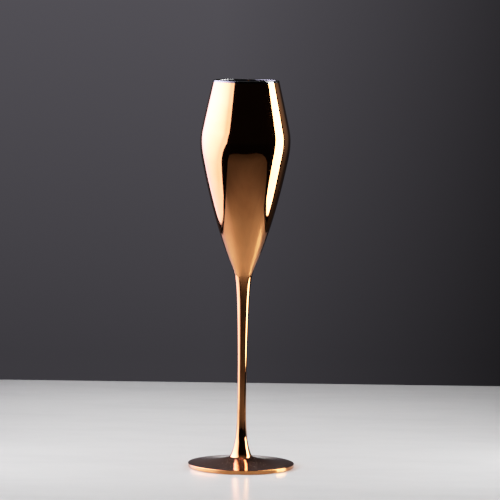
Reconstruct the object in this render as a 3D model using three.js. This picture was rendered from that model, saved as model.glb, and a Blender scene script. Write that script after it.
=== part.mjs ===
// Champagne flute: a thin blown bowl, a slim drawn stem and a disc foot, three pieces of glass joined hot,
// with an opaque copper mirror finish all over.
// Millimetres, +Z up. The origin is on the resting plane, on the axis of the glass.

import * as THREE from 'three';

// Driving dimensions

const HEIGHT = 255;
const FOOT_RADIUS = 35;
const FOOT_EDGE = 2.7;
const RIM_RADIUS = 21.8;
const RIM_WALL = 1.4;
const BOWL_WALL = 1.4;
const STEM_TOP = 126;
const STEM_FOOT = 7;
const SEGMENTS = 48;

// Stations on the outlines: a radius, a height, and the heading in degrees of the outline as it passes.
// A heading of 0 goes outwards, 90 goes up, 180 goes inwards and 270 goes down.

// Bowl, from its base up the outside. It tapers in again above a rounded shoulder.
const NECK = { r: 5.6, z: STEM_TOP, heading: 80.5 };
const CONE_START = { r: 8.4, z: 134.5, heading: 66.6 };
const SHOULDER_START = { r: 28.3, z: 202.8, heading: 78.5 };
const SHOULDER_END = { r: 29.2, z: 220.7, heading: 99.6 };
const RIM_HEADING = 103;

// Bowl, the lowest part of the inside: a round well in the thick glass above the stem.
const WELL_SIDE = { r: 10.4, z: 144, heading: 249 };
const WELL_BOTTOM = { r: 0, z: 135, heading: 180 };

// Stem, from the flare that stands on the foot, through the waist, up to the bowl.
const FLARE_FOOT = { r: 7.6, z: STEM_FOOT, heading: 130 };
const FLARE_TOP = { r: 4.2, z: 17.2, heading: 100.8 };
const WAIST = { r: 2.88, z: 50, heading: 90 };
const STEM_UPPER = { r: 3.88, z: 106, heading: 87.9 };

// Foot: a shallow hollow underneath, a flat ring to stand on, an upright edge with both corners rounded,
// and a top that rises to the stem.
const HOLLOW = { r: 0, z: 1.2, heading: 0 };
const RING_START = { r: 31, z: 0, heading: -4 };
const LOWER_EDGE_RADIUS = 0.7;
const UPPER_EDGE_RADIUS = 0.35;
const LOWER_EDGE_CENTRE = { r: FOOT_RADIUS - LOWER_EDGE_RADIUS, z: LOWER_EDGE_RADIUS };
const UPPER_EDGE_CENTRE = { r: FOOT_RADIUS - UPPER_EDGE_RADIUS, z: FOOT_EDGE - UPPER_EDGE_RADIUS };
const TOP_HEADING = 175.4;
const PAD_EDGE = { r: FLARE_FOOT.r, z: STEM_FOOT, heading: 154 };

const COPPER = 0xc98a63;

// Outlines

const radians = THREE.MathUtils.degToRad;

function point(station) {
  return new THREE.Vector2(station.r, station.z);
}

function direction(heading) {
  return new THREE.Vector2(Math.cos(radians(heading)), Math.sin(radians(heading)));
}

// The point where the tangents of two stations meet.
function corner(from, to) {
  const ahead = direction(from.heading);
  const back = direction(to.heading);
  const gap = point(to).sub(point(from));
  const along = gap.cross(back) / ahead.cross(back);
  return point(from).addScaledVector(ahead, along);
}

// A smooth bend from one station to the next, tangent to both.
function bend(from, to, steps) {
  const curve = new THREE.QuadraticBezierCurve(point(from), corner(from, to), point(to));
  return curve.getPoints(steps);
}

// A round edge, from one heading to another, with the material on its inside.
function roundEdge(centre, radius, fromHeading, toHeading, steps) {
  const start = radians(fromHeading - 90);
  const end = radians(toHeading - 90);
  return new THREE.EllipseCurve(centre.r, centre.z, radius, radius, start, end).getPoints(steps);
}

// A station on a round edge, where the outline passes at the heading.
function onRoundEdge(centre, radius, heading) {
  const outward = direction(heading - 90);
  return { r: centre.r + radius * outward.x, z: centre.z + radius * outward.y, heading };
}

// The station on the inner face of a wall, behind a station on its outer face.
function behind(station, wall) {
  const outward = direction(station.heading - 90);
  return { r: station.r - wall * outward.x, z: station.z - wall * outward.y, heading: station.heading + 180 };
}

// Joins stretches of outline into one list, without the points that two stretches share.
function join(...stretches) {
  const nearest = 1e-6;
  const points = [];
  for (const stretch of stretches) {
    for (const next of stretch) {
      const last = points.at(-1);
      if (!last || last.distanceTo(next) > nearest) {
        points.push(next);
      }
    }
  }
  return points;
}

// Turns an outline into a solid around the Z axis.
function turned(name, outline, color) {
  const geometry = new THREE.LatheGeometry(outline, SEGMENTS);
  geometry.rotateX(Math.PI / 2);
  const material = new THREE.MeshStandardMaterial({ color, metalness: 1, roughness: 0.05 });
  const mesh = new THREE.Mesh(geometry, material);
  mesh.name = name;
  return mesh;
}

// Sub-parts

function makeBowl() {
  const lipRadius = RIM_WALL / 2;
  const lipCentre = { r: RIM_RADIUS - lipRadius, z: HEIGHT - lipRadius };
  const rimOutside = onRoundEdge(lipCentre, lipRadius, RIM_HEADING);
  const rimInside = onRoundEdge(lipCentre, lipRadius, RIM_HEADING + 180);
  const insideShoulderEnd = behind(SHOULDER_END, BOWL_WALL);
  const insideShoulderStart = behind(SHOULDER_START, BOWL_WALL);
  const base = new THREE.Vector2(0, STEM_TOP);
  const outline = join(
    [base],
    bend(NECK, CONE_START, 4),
    bend(CONE_START, SHOULDER_START, 8),
    bend(SHOULDER_START, SHOULDER_END, 6),
    bend(SHOULDER_END, rimOutside, 4),
    roundEdge(lipCentre, lipRadius, RIM_HEADING, 180, 3),
    roundEdge(lipCentre, lipRadius, 180, RIM_HEADING + 180, 3),
    bend(rimInside, insideShoulderEnd, 4),
    bend(insideShoulderEnd, insideShoulderStart, 6),
    bend(insideShoulderStart, WELL_SIDE, 6),
    bend(WELL_SIDE, WELL_BOTTOM, 6),
  );
  return turned('bowl', outline, COPPER);
}

function makeStem() {
  const foot = new THREE.Vector2(0, STEM_FOOT);
  const top = new THREE.Vector2(0, STEM_TOP);
  const outline = join(
    [foot],
    bend(FLARE_FOOT, FLARE_TOP, 6),
    bend(FLARE_TOP, WAIST, 5),
    bend(WAIST, STEM_UPPER, 5),
    bend(STEM_UPPER, NECK, 4),
    [top],
  );
  return turned('stem', outline, COPPER);
}

function makeFoot() {
  const topEdge = onRoundEdge(UPPER_EDGE_CENTRE, UPPER_EDGE_RADIUS, TOP_HEADING);
  const padCentre = new THREE.Vector2(0, STEM_FOOT);
  const outline = join(
    bend(HOLLOW, RING_START, 5),
    roundEdge(LOWER_EDGE_CENTRE, LOWER_EDGE_RADIUS, 0, 90, 3),
    roundEdge(UPPER_EDGE_CENTRE, UPPER_EDGE_RADIUS, 90, TOP_HEADING, 3),
    bend(topEdge, PAD_EDGE, 8),
    [padCentre],
  );
  return turned('foot', outline, COPPER);
}

const flute = new THREE.Group();
flute.add(makeBowl());
flute.add(makeStem());
flute.add(makeFoot());

export default flute;
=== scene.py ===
"""A champagne flute of thin glass with an opaque copper mirror finish, on a pale table in a dark studio.

Metres, +Z up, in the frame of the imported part. The bowl, the stem and the foot are turned as smooth meshes
that follow the outlines of the faceted solids, because a mirror finish shows every facet.
"""

import math

import bmesh
import bpy
from mathutils import Matrix, Vector


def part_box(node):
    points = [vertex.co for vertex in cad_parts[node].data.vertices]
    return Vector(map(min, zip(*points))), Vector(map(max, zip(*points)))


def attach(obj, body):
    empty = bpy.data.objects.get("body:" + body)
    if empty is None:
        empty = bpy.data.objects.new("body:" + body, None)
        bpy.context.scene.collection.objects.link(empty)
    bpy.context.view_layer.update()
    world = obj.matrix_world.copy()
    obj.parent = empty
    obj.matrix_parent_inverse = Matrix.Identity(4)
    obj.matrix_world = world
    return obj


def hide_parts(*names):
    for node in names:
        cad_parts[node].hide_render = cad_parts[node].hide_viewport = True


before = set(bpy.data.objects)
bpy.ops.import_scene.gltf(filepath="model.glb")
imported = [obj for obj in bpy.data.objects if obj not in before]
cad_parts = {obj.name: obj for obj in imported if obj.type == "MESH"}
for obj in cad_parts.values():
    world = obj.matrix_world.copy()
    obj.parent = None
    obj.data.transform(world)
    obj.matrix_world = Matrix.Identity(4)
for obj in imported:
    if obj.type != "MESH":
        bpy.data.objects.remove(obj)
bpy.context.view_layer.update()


# Driving dimensions, from the frame

MM = 0.001
_, FOOT_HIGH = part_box("foot")
STEM_LOW, STEM_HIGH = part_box("stem")
_, BOWL_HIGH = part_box("bowl")
FOOT_RADIUS = FOOT_HIGH.x
FOOT_TOP = STEM_LOW.z
STEM_TOP = STEM_HIGH.z
HEIGHT = BOWL_HIGH.z

RIM_RADIUS = 21.8 * MM
WALL = 1.4 * MM

# Fineness of the turned meshes: faces round a ring, the radius below which a station is a point on the axis,
# and the decimals of a metre within which two stations are the same.
FACES_ROUND = 192
ON_AXIS = 1e-9
SAME_PLACE = 8

# Stations on the outlines: a radius, a height, and the heading in degrees of the outline as it passes.
# A heading of 0 goes outwards, 90 goes up, 180 goes inwards and 270 goes down.
# The bowl's outside stations were fitted to the silhouette in the photograph and rounded.

NECK = (5.6 * MM, STEM_TOP, 80.5)
CONE_START = (8.4 * MM, STEM_TOP + 8.5 * MM, 66.6)
SHOULDER_START = (28.3 * MM, STEM_TOP + 76.8 * MM, 78.5)
SHOULDER_END = (29.2 * MM, HEIGHT - 34.3 * MM, 99.6)
RIM_HEADING = 103
WELL_SIDE = (10.4 * MM, STEM_TOP + 18 * MM, 249)
WELL_BOTTOM = (0, STEM_TOP + 9 * MM, 180)

FLARE_FOOT = (7.6 * MM, FOOT_TOP, 130)
FLARE_TOP = (4.2 * MM, FOOT_TOP + 10.2 * MM, 100.8)
WAIST = (2.88 * MM, FOOT_TOP + 43 * MM, 90)
STEM_UPPER = (3.88 * MM, STEM_TOP - 20 * MM, 87.9)

HOLLOW = (0, 1.2 * MM, 0)
RING_START = (31 * MM, 0, -4)
LOWER_EDGE_RADIUS = 0.7 * MM
UPPER_EDGE_RADIUS = 0.35 * MM
FOOT_EDGE = 2.7 * MM
LOWER_EDGE_CENTRE = (FOOT_RADIUS - LOWER_EDGE_RADIUS, LOWER_EDGE_RADIUS)
UPPER_EDGE_CENTRE = (FOOT_RADIUS - UPPER_EDGE_RADIUS, FOOT_EDGE - UPPER_EDGE_RADIUS)
TOP_HEADING = 175.4
PAD_EDGE = (FLARE_FOOT[0], FOOT_TOP, 154)


# Outlines. A stretch is a list of stations; the surface is smooth along a stretch and may crease
# between two stretches.

def direction(heading):
    angle = math.radians(heading)
    return Vector((math.cos(angle), math.sin(angle)))


def place(station):
    return Vector(station[:2])


def tangent_corner(start, end):
    """The point where the tangents of two stations meet."""
    ahead, back = direction(start[2]), direction(end[2])
    gap = place(end) - place(start)
    along = gap.cross(back) / ahead.cross(back)
    return place(start) + ahead * along


def bend(start, end, steps):
    """A smooth bend from one station to the next, tangent to both."""
    a, b, c = place(start), tangent_corner(start, end), place(end)
    stretch = []
    for step in range(steps + 1):
        t = step / steps
        spot = a * (1 - t) ** 2 + b * (2 * t * (1 - t)) + c * t ** 2
        way = (b - a) * (1 - t) + (c - b) * t
        stretch.append((spot.x, spot.y, math.degrees(math.atan2(way.y, way.x))))
    return stretch


def on_round_edge(centre, radius, heading):
    """The station on a round edge where the outline passes at the heading."""
    outward = direction(heading - 90)
    return (centre[0] + radius * outward.x, centre[1] + radius * outward.y, heading)


def round_edge(centre, radius, start, end, steps):
    """A round edge, from one heading to another, with the material on its inside."""
    headings = [start + (end - start) * step / steps for step in range(steps + 1)]
    return [on_round_edge(centre, radius, heading) for heading in headings]


def behind(station, wall):
    """The station on the inner face of a wall, behind a station on its outer face."""
    outward = direction(station[2] - 90)
    return (station[0] - wall * outward.x, station[1] - wall * outward.y, station[2] + 180)


def straight(start, end, steps):
    """A straight stretch between two points."""
    way = Vector(end) - Vector(start)
    heading = math.degrees(math.atan2(way.y, way.x))
    spots = [Vector(start) + way * step / steps for step in range(steps + 1)]
    return [(spot.x, spot.y, heading) for spot in spots]


def joined(*stretches):
    """Smooth stretches that follow on without a crease, as one stretch."""
    stations = list(stretches[0])
    for stretch in stretches[1:]:
        stations += stretch[1:]
    return stations


def turned(name, stretches, finishes):
    """Turns an outline around the Z axis, with the outline's exact normal at every corner of its faces.

    Each stretch has a finish, the place of its material in the piece's list.
    """
    mesh = bmesh.new()
    rings = {}

    def ring(station):
        radius, height, _ = station
        key = (round(radius, SAME_PLACE), round(height, SAME_PLACE))
        if key not in rings:
            if radius < ON_AXIS:
                rings[key] = [mesh.verts.new((0, 0, height))] * FACES_ROUND
            else:
                turns = [2 * math.pi * k / FACES_ROUND for k in range(FACES_ROUND)]
                rings[key] = [
                    mesh.verts.new((radius * math.cos(turn), radius * math.sin(turn), height))
                    for turn in turns
                ]
        return rings[key]

    def normal(station, k):
        outward = direction(station[2] - 90)
        turn = 2 * math.pi * k / FACES_ROUND
        return Vector((outward.x * math.cos(turn), outward.x * math.sin(turn), outward.y))

    normals = []
    for stretch, finish in zip(stretches, finishes):
        for low, high in zip(stretch, stretch[1:]):
            below, above = ring(low), ring(high)
            for k in range(FACES_ROUND):
                following = (k + 1) % FACES_ROUND
                face = [(below[k], low, k), (below[following], low, k + 1)]
                face += [(above[following], high, k + 1), (above[k], high, k)]
                if below[k] is below[following]:
                    face = [(below[k], low, k + 0.5)] + face[2:]
                if above[k] is above[following]:
                    face = face[:2] + [(above[k], high, k + 0.5)]
                made = mesh.faces.new([vert for vert, station, turn in face])
                made.smooth = True
                made.material_index = finish
                normals += [normal(station, turn) for vert, station, turn in face]
    data = bpy.data.meshes.new(name)
    mesh.to_mesh(data)
    mesh.free()
    data.normals_split_custom_set(normals)
    piece = bpy.data.objects.new(name, data)
    bpy.context.scene.collection.objects.link(piece)
    return piece


# The places of the bowl's materials in its list.
COPPER_FILM, BARE_LIP, INNER_FILM = 0, 1, 2

# The film stops just below the lip, so this many steps of the wall are bare beside it on each face.
BARE_OUTSIDE, BARE_INSIDE = 1, 4
STEPS_BELOW_LIP = 60


def make_bowl():
    lip_radius = WALL / 2
    lip_centre = (RIM_RADIUS - lip_radius, HEIGHT - lip_radius)
    rim_outside = on_round_edge(lip_centre, lip_radius, RIM_HEADING)
    rim_inside = on_round_edge(lip_centre, lip_radius, RIM_HEADING + 180)
    inside_shoulder_end = behind(SHOULDER_END, WALL)
    inside_shoulder_start = behind(SHOULDER_START, WALL)
    base = straight((0, STEM_TOP), NECK[:2], steps=4)
    taper = bend(SHOULDER_END, rim_outside, STEPS_BELOW_LIP)
    outside = joined(
        bend(NECK, CONE_START, steps=24),
        bend(CONE_START, SHOULDER_START, steps=48),
        bend(SHOULDER_START, SHOULDER_END, steps=32),
        taper[:-BARE_OUTSIDE],
    )
    round_lip = round_edge(lip_centre, lip_radius, RIM_HEADING, RIM_HEADING + 180, steps=16)
    below_lip = bend(rim_inside, inside_shoulder_end, STEPS_BELOW_LIP)
    lip = joined(taper[-1 - BARE_OUTSIDE:], round_lip, below_lip[:1 + BARE_INSIDE])
    inside = joined(
        below_lip[BARE_INSIDE:],
        bend(inside_shoulder_end, inside_shoulder_start, steps=20),
        bend(inside_shoulder_start, WELL_SIDE, steps=28),
        bend(WELL_SIDE, WELL_BOTTOM, steps=20),
    )
    finishes = [COPPER_FILM, COPPER_FILM, BARE_LIP, INNER_FILM]
    return turned("copper_bowl", [base, outside, lip, inside], finishes)


def make_stem():
    bottom = straight((0, FOOT_TOP), FLARE_FOOT[:2], steps=4)
    side = joined(
        bend(FLARE_FOOT, FLARE_TOP, steps=32),
        bend(FLARE_TOP, WAIST, steps=32),
        bend(WAIST, STEM_UPPER, steps=48),
        bend(STEM_UPPER, NECK, steps=32),
    )
    top = straight(NECK[:2], (0, STEM_TOP), steps=4)
    stretches = [bottom, side, top]
    return turned("copper_stem", stretches, [COPPER_FILM] * len(stretches))


def make_foot():
    underside = bend(HOLLOW, RING_START, steps=24)
    lower_edge = round_edge(LOWER_EDGE_CENTRE, LOWER_EDGE_RADIUS, 0, 90, steps=10)
    upper_edge = round_edge(UPPER_EDGE_CENTRE, UPPER_EDGE_RADIUS, 90, TOP_HEADING, steps=10)
    ring = straight(RING_START[:2], lower_edge[0][:2], steps=3)
    face = straight(lower_edge[-1][:2], upper_edge[0][:2], steps=4)
    top = joined(lower_edge, face, upper_edge, bend(upper_edge[-1], PAD_EDGE, steps=48))
    pad = straight(PAD_EDGE[:2], (0, FOOT_TOP), steps=4)
    stretches = [underside, ring, top, pad]
    return turned("copper_foot", stretches, [COPPER_FILM] * len(stretches))


# Materials

COPPER = (0.47, 0.170, 0.056, 1)
COPPER_DEEP = (0.43, 0.150, 0.047, 1)
INNER_COPPER = (0.52, 0.235, 0.125, 1)
INNER_COPPER_DEEP = (0.43, 0.185, 0.095, 1)
# Pale specks on the faces that look up: partly settled dirt, partly a painted reflection of a speckled wall.
DUST_AND_REFLECTED_SPECKS = (0.55, 0.50, 0.48, 1)
# Painted shade: the clear glass of the lip is coloured nearly black, for the film shuts the light out of the
# wall.
SHADED_LIP_GLASS = (0.030, 0.030, 0.036, 1)
SHADED_LIP_GLASS_PALE = (0.055, 0.055, 0.062, 1)
TABLE_WHITE = (0.80, 0.795, 0.80, 1)
TABLE_GREY = (0.68, 0.677, 0.685, 1)

GLASS_IOR = 1.5

# The table turns from matte to satin between these two Y.
TABLE_MATTE_TO = -0.18
TABLE_SATIN_FROM = -0.10


def new_material(name):
    material = bpy.data.materials.new(name)
    material.use_nodes = True
    nodes = material.node_tree.nodes
    return material, nodes, material.node_tree.links, nodes["Principled BSDF"]


def on_object(nodes, links, stretch=(1, 1, 1)):
    """Places on the object in metres, drawn out or squeezed along each axis."""
    mapping = nodes.new("ShaderNodeMapping")
    mapping.inputs["Scale"].default_value = stretch
    links.new(nodes.new("ShaderNodeTexCoord").outputs["Object"], mapping.inputs["Vector"])
    return mapping.outputs["Vector"]


def noise(nodes, links, coordinates, scale, detail, roughness=0.5):
    """Cloudy noise with that many clouds to a metre, in so many octaves."""
    texture = nodes.new("ShaderNodeTexNoise")
    texture.inputs["Scale"].default_value = scale
    texture.inputs["Detail"].default_value = detail
    texture.inputs["Roughness"].default_value = roughness
    links.new(coordinates, texture.inputs["Vector"])
    return texture.outputs["Fac"]


def remap(nodes, links, value, given, wanted):
    """Turns one range of values into another, and holds it at the ends."""
    mapped = nodes.new("ShaderNodeMapRange")
    mapped.inputs["From Min"].default_value, mapped.inputs["From Max"].default_value = given
    mapped.inputs["To Min"].default_value, mapped.inputs["To Max"].default_value = wanted
    links.new(value, mapped.inputs["Value"])
    return mapped.outputs["Result"]


def blend(nodes, links, amount, low, high):
    """Mixes two colours, or an earlier mix and a colour."""
    mix = nodes.new("ShaderNodeMix")
    mix.data_type = "RGBA"
    for name, colour in (("A", low), ("B", high)):
        if isinstance(colour, tuple):
            mix.inputs[name].default_value = colour
        else:
            links.new(colour, mix.inputs[name])
    links.new(amount, mix.inputs["Factor"])
    return mix.outputs["Result"]


def component(nodes, links, vector, axis):
    """One axis of a vector."""
    split = nodes.new("ShaderNodeSeparateXYZ")
    links.new(vector, split.inputs["Vector"])
    return split.outputs[axis]


def bump(nodes, links, height, distance):
    """Relief with that distance, in metres, from its lowest to its highest."""
    relief = nodes.new("ShaderNodeBump")
    relief.inputs["Strength"].default_value = 1
    relief.inputs["Distance"].default_value = distance
    links.new(height, relief.inputs["Height"])
    return relief.outputs["Normal"]


def copper_mirror(name, dust_and_specks, ripple):
    """Bright copper film on glass, deeper in cloudy patches, with a faint ripple, its depth in metres.

    Pale specks on the faces that look up are partly settled dirt and partly a painted reflection of a
    speckled wall, and cover at most that share of the film.
    """
    material, nodes, links, shader = new_material(name)
    places = on_object(nodes, links)
    clouds = noise(nodes, links, places, scale=60, detail=4)
    film = blend(nodes, links, remap(nodes, links, clouds, (0.4, 0.65), (0, 1)), COPPER, COPPER_DEEP)
    # Painted reflection, partly settled dirt: pale specks on the faces that look up.
    specks = noise(nodes, links, places, scale=1400, detail=1, roughness=0.8)
    upward = component(nodes, links, nodes.new("ShaderNodeNewGeometry").outputs["Normal"], "Z")
    specks_on_top = nodes.new("ShaderNodeMath")
    specks_on_top.operation = "MULTIPLY"
    links.new(remap(nodes, links, upward, (0.6, 0.95), (0, 1)), specks_on_top.inputs[0])
    links.new(remap(nodes, links, specks, (0.60, 0.68), (0, dust_and_specks)), specks_on_top.inputs[1])
    speck_cover = specks_on_top.outputs["Value"]
    links.new(blend(nodes, links, speck_cover, film, DUST_AND_REFLECTED_SPECKS), shader.inputs["Base Color"])
    links.new(remap(nodes, links, speck_cover, (0, 1), (1, 0.1)), shader.inputs["Metallic"])
    wipes = noise(nodes, links, on_object(nodes, links, (1, 1, 0.25)), scale=90, detail=5, roughness=0.6)
    links.new(remap(nodes, links, wipes, (0.35, 0.75), (0.03, 0.07)), shader.inputs["Roughness"])
    waves = noise(nodes, links, on_object(nodes, links, (1, 1, 0.3)), scale=700, detail=2)
    links.new(bump(nodes, links, waves, ripple), shader.inputs["Normal"])
    return material


def lined_copper():
    """The copper film as it shows from inside, through the clear glass wall."""
    material, nodes, links, shader = new_material("inner_copper")
    places = on_object(nodes, links)
    clouds = noise(nodes, links, places, scale=70, detail=5, roughness=0.6)
    amount = remap(nodes, links, clouds, (0.38, 0.66), (0, 1))
    links.new(blend(nodes, links, amount, INNER_COPPER, INNER_COPPER_DEEP), shader.inputs["Base Color"])
    shader.inputs["Metallic"].default_value = 1
    links.new(remap(nodes, links, clouds, (0.3, 0.7), (0.16, 0.26)), shader.inputs["Roughness"])
    grain = noise(nodes, links, places, scale=900, detail=3)
    links.new(bump(nodes, links, grain, 0.03 * MM), shader.inputs["Normal"])
    shader.inputs["Coat Weight"].default_value = 1
    shader.inputs["Coat Roughness"].default_value = 0.02
    shader.inputs["Coat IOR"].default_value = GLASS_IOR
    return material


def polished_lip():
    """Bare fire-polished glass at the lip, coloured dark as painted shade, because the film shuts the light
    out of the wall.
    """
    material, nodes, links, shader = new_material("polished_lip")
    places = on_object(nodes, links)
    shade = noise(nodes, links, places, scale=140, detail=3)
    amount = remap(nodes, links, shade, (0.35, 0.65), (0, 1))
    links.new(blend(nodes, links, amount, SHADED_LIP_GLASS, SHADED_LIP_GLASS_PALE), shader.inputs["Base Color"])
    links.new(remap(nodes, links, shade, (0.3, 0.7), (0.05, 0.10)), shader.inputs["Roughness"])
    links.new(bump(nodes, links, shade, 0.02 * MM), shader.inputs["Normal"])
    shader.inputs["IOR"].default_value = GLASS_IOR
    shader.inputs["Transmission Weight"].default_value = 1
    return material


def pale_table():
    """Pale stone with faint grey clouds, satin where the glass stands and honed matte in front of it."""
    material, nodes, links, shader = new_material("pale_table")
    places = on_object(nodes, links)
    clouds = noise(nodes, links, on_object(nodes, links, (1, 3, 1)), scale=8, detail=9, roughness=0.68)
    amount = remap(nodes, links, clouds, (0.42, 0.68), (0, 1))
    links.new(blend(nodes, links, amount, TABLE_WHITE, TABLE_GREY), shader.inputs["Base Color"])
    links.new(remap(nodes, links, clouds, (0.3, 0.7), (0.18, 0.25)), shader.inputs["Roughness"])
    grain = noise(nodes, links, places, scale=700, detail=4)
    links.new(bump(nodes, links, grain, 0.04 * MM), shader.inputs["Normal"])
    backwards = component(nodes, links, places, "Y")
    gloss = remap(nodes, links, backwards, (TABLE_MATTE_TO, TABLE_SATIN_FROM), (0, 0.3))
    links.new(gloss, shader.inputs["Specular IOR Level"])
    return material


def glow(name, colour, centre, reach, middle, edge):
    """A lit surface, with one strength in the middle and another from its reach outwards."""
    material = bpy.data.materials.new(name)
    material.use_nodes = True
    nodes, links = material.node_tree.nodes, material.node_tree.links
    nodes.clear()
    away = nodes.new("ShaderNodeVectorMath")
    away.operation = "DISTANCE"
    away.inputs[1].default_value = centre
    links.new(on_object(nodes, links), away.inputs[0])
    emission = nodes.new("ShaderNodeEmission")
    emission.inputs["Color"].default_value = colour
    strength = remap(nodes, links, away.outputs["Value"], (0, reach), (middle, edge))
    links.new(strength, emission.inputs["Strength"])
    output = nodes.new("ShaderNodeOutputMaterial")
    links.new(emission.outputs["Emission"], output.inputs["Surface"])
    return material


# Studio

WHITE = (1, 1, 1, 1)
DARK_ROOM = (0.0028, 0.0027, 0.0030, 1)
WALL_LEFT = (0.053, 0.050, 0.058, 1)
WALL_RIGHT = (0.015, 0.014, 0.016, 1)


def flat_shape(name, points, material):
    """A flat stage piece with straight sides."""
    mesh = bmesh.new()
    mesh.faces.new([mesh.verts.new(spot) for spot in points])
    data = bpy.data.meshes.new(name)
    mesh.to_mesh(data)
    mesh.free()
    data.materials.append(material)
    piece = bpy.data.objects.new(name, data)
    bpy.context.scene.collection.objects.link(piece)
    return piece


def card(name, points, material):
    """A lamp face that only mirror reflections see."""
    piece = flat_shape(name, points, material)
    piece.visible_camera = False
    piece.visible_diffuse = False
    piece.visible_shadow = False
    return piece


def area_light(name, place_at, aim, width, height, power, spread):
    """A soft lamp of that power in watts, which mirror reflections don't see."""
    data = bpy.data.lights.new(name, "AREA")
    data.shape = "RECTANGLE"
    data.size, data.size_y = width, height
    data.energy = power
    data.spread = math.radians(spread)
    light = bpy.data.objects.new(name, data)
    light.location = place_at
    light.rotation_euler = (Vector(aim) - Vector(place_at)).to_track_quat("-Z", "Y").to_euler()
    light.visible_glossy = False
    bpy.context.scene.collection.objects.link(light)


# The outlines of the table and of the lamp faces beside the glass come from a scratch calculation. It traced
# the edges of what the copper mirrors in the photograph back to where they would lie in the room. The results
# were rounded and adjusted.

# The table's outline, in X and Y.
TABLE_OUTLINE = [
    (-0.33, 0.43), (-0.33, -0.10), (-0.345, -0.30), (-0.43, -0.50), (-0.35, -0.60), (-0.20, -0.655),
    (0.37, -0.665), (0.50, -0.50), (0.50, -0.37), (0.43, -0.20), (0.335, -0.08), (0.34, 0.43),
]

# The lamp faces beside the glass stand upright: the X of each, and its outline in Y and Z.
LEFT_PLANE = -0.6
LEFT_OUTLINE = [
    (-0.72, 0.70), (-0.57, 0.18), (-0.35, 0.03), (-0.26, -0.05), (-0.15, -0.112), (0.02, -0.121),
    (0.36, -0.105), (0.54, -0.085), (0.70, 0.0), (0.80, 0.27), (0.80, 1.3), (-0.85, 1.3),
]
RIGHT_PLANE = 0.33
RIGHT_OUTLINE = [
    (-0.036, 0.35), (-0.050, 0.216), (-0.065, 0.048), (-0.050, 0.028), (0.043, 0.020), (0.10, 0.027),
    (0.112, 0.05), (0.115, 0.20), (0.119, 0.305), (0.122, 1.0), (-0.022, 1.0),
]
FILL_PLANE = 0.45
FILL_OUTLINE = [(0.22, -0.4), (0.70, -0.4), (0.70, 1.3), (0.22, 1.3)]

# The dim ceiling: its height, how far it reaches to each side, and its outline for a reach of 1.
CEILING = 1.5
CEILING_REACH = 1.7
SQUARE = [(-1, -1), (1, -1), (1, 1), (-1, 1)]

# Lamps at the two sides of the glass: the side, then the watts of the low, the front and the back lamp.
# The watts began as a fit to the brightness of the table in the photograph and were then changed.
SIDE_LAMPS = ((-1, 0.18, 0.55, 0.62), (1, 0.33, 0.38, 0.34))


def make_studio():
    flat_shape("table", [(x, y, 0) for x, y in TABLE_OUTLINE], pale_table())
    left = glow("left_glow", (1, 0.94, 1.35, 1), (LEFT_PLANE, 0.15, 0.55), reach=0.62, middle=28, edge=6)
    card("left_softbox", [(LEFT_PLANE, y, z) for y, z in LEFT_OUTLINE], left)
    right = glow("right_glow", WHITE, (RIGHT_PLANE, 0.04, 0.35), reach=0.3, middle=40, edge=26)
    card("right_softbox", [(RIGHT_PLANE, y, z) for y, z in RIGHT_OUTLINE], right)
    fill = glow("fill_glow", (1, 0.97, 0.85, 1), (FILL_PLANE, 0.20, 0.45), reach=0.5, middle=0.40, edge=0.02)
    card("right_fill", [(FILL_PLANE, y, z) for y, z in FILL_OUTLINE], fill)
    ceiling = glow("ceiling_glow", WHITE, (0, 0, CEILING), CEILING_REACH, middle=0.40, edge=0.03)
    card("ceiling", [(x * CEILING_REACH, y * CEILING_REACH, CEILING) for x, y in SQUARE], ceiling)
    area_light("ceiling_light", (0, -0.2, 0.7), (0, -0.2, 0), 0.3, 0.3, power=0.4, spread=180)
    for side, low, front, back in SIDE_LAMPS:
        area_light("low_light", (0.29 * side, 0.03, 0.12), (0.2 * side, 0.03, 0), 0.1, 0.1, low, spread=180)
        area_light("front_light", (0.30 * side, -0.05, 0.22), (0, -0.05, 0), 0.25, 0.2, front, spread=100)
        area_light("back_light", (0.30 * side, 0.25, 0.35), (0, 0.25, 0), 0.25, 0.2, back, spread=100)


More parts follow.
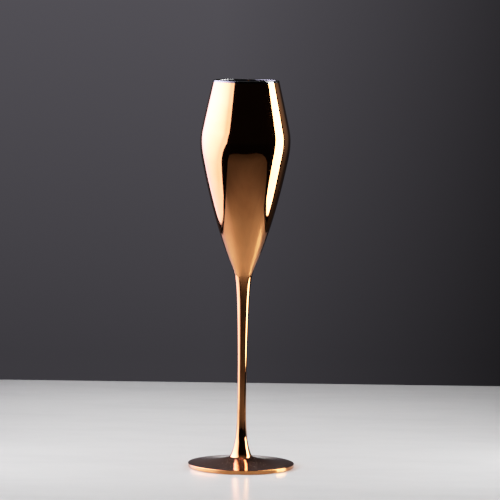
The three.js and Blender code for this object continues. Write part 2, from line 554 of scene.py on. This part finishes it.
def make_world():
    """A dark room with a dim wall behind the glass, darker to the right and towards the table."""
    world = bpy.data.worlds.new("dark_studio")
    bpy.context.scene.world = world
    world.use_nodes = True
    nodes, links = world.node_tree.nodes, world.node_tree.links
    background = nodes["Background"]
    heading = nodes.new("ShaderNodeTexCoord").outputs["Generated"]
    across, along, up = (component(nodes, links, heading, axis) for axis in "XYZ")
    wall = blend(nodes, links, remap(nodes, links, across, (-0.01, 0.08), (0, 1)), WALL_LEFT, WALL_RIGHT)
    room = blend(nodes, links, remap(nodes, links, along, (0.55, 0.85), (0, 1)), DARK_ROOM, wall)
    links.new(room, background.inputs["Color"])
    links.new(remap(nodes, links, up, (-0.12, -0.01), (0.75, 1.4)), background.inputs["Strength"])


# Camera

# Angles in degrees; the lens and the sensor in millimetres.
CAMERA_PLACE = (4.07 * MM, -2110 * MM, 329 * MM)
CAMERA_PITCH = 5.022
CAMERA_ROLL = 0.772
CAMERA_LENS = 232.5
CAMERA_SENSOR = 36


def make_camera():
    data = bpy.data.cameras.new("camera")
    data.lens = CAMERA_LENS
    data.sensor_width = CAMERA_SENSOR
    camera = bpy.data.objects.new("camera", data)
    pitch = Matrix.Rotation(math.radians(90 - CAMERA_PITCH), 4, "X")
    roll = Matrix.Rotation(math.radians(CAMERA_ROLL), 4, "Z")
    camera.matrix_world = Matrix.Translation(CAMERA_PLACE) @ pitch @ roll
    bpy.context.scene.collection.objects.link(camera)
    bpy.context.scene.camera = camera


# Tone of the picture: bright light rolls off softly before it turns white. Light in, light shown.
TONE = [(0.35, 0.35), (0.69, 0.59), (1.2, 0.78), (1.62, 0.89)]
TONE_WHITE = 3
ALL_CHANNELS = 3


def set_tone():
    settings = bpy.context.scene.view_settings
    settings.view_transform = "Standard"
    settings.use_curve_mapping = True
    mapping = settings.curve_mapping
    mapping.white_level = [TONE_WHITE] * 3
    curve = mapping.curves[ALL_CHANNELS]
    for light, shown in TONE:
        curve.points.new(light / TONE_WHITE, shown)
    mapping.update()


def make_flute():
    """The three pieces, each in the place of its CAD node.

    The bowl's materials are in the order of their places in its list.
    """
    mirror = copper_mirror("copper_mirror", dust_and_specks=0.03, ripple=0.001 * MM)
    # The foot's top carries the most pale specks, partly dirt and partly painted reflection.
    dusty_speckled_mirror = copper_mirror("dusty_speckled_copper_mirror", dust_and_specks=0.5, ripple=0.09 * MM)
    pieces = (
        (make_bowl(), "bowl", (mirror, polished_lip(), lined_copper())),
        (make_stem(), "stem", (mirror,)),
        (make_foot(), "foot", (dusty_speckled_mirror,)),
    )
    for piece, node, finish in pieces:
        for material in finish:
            piece.data.materials.append(material)
        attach(piece, "root")
        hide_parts(node)


make_camera()
set_tone()
make_flute()
make_studio()
make_world()
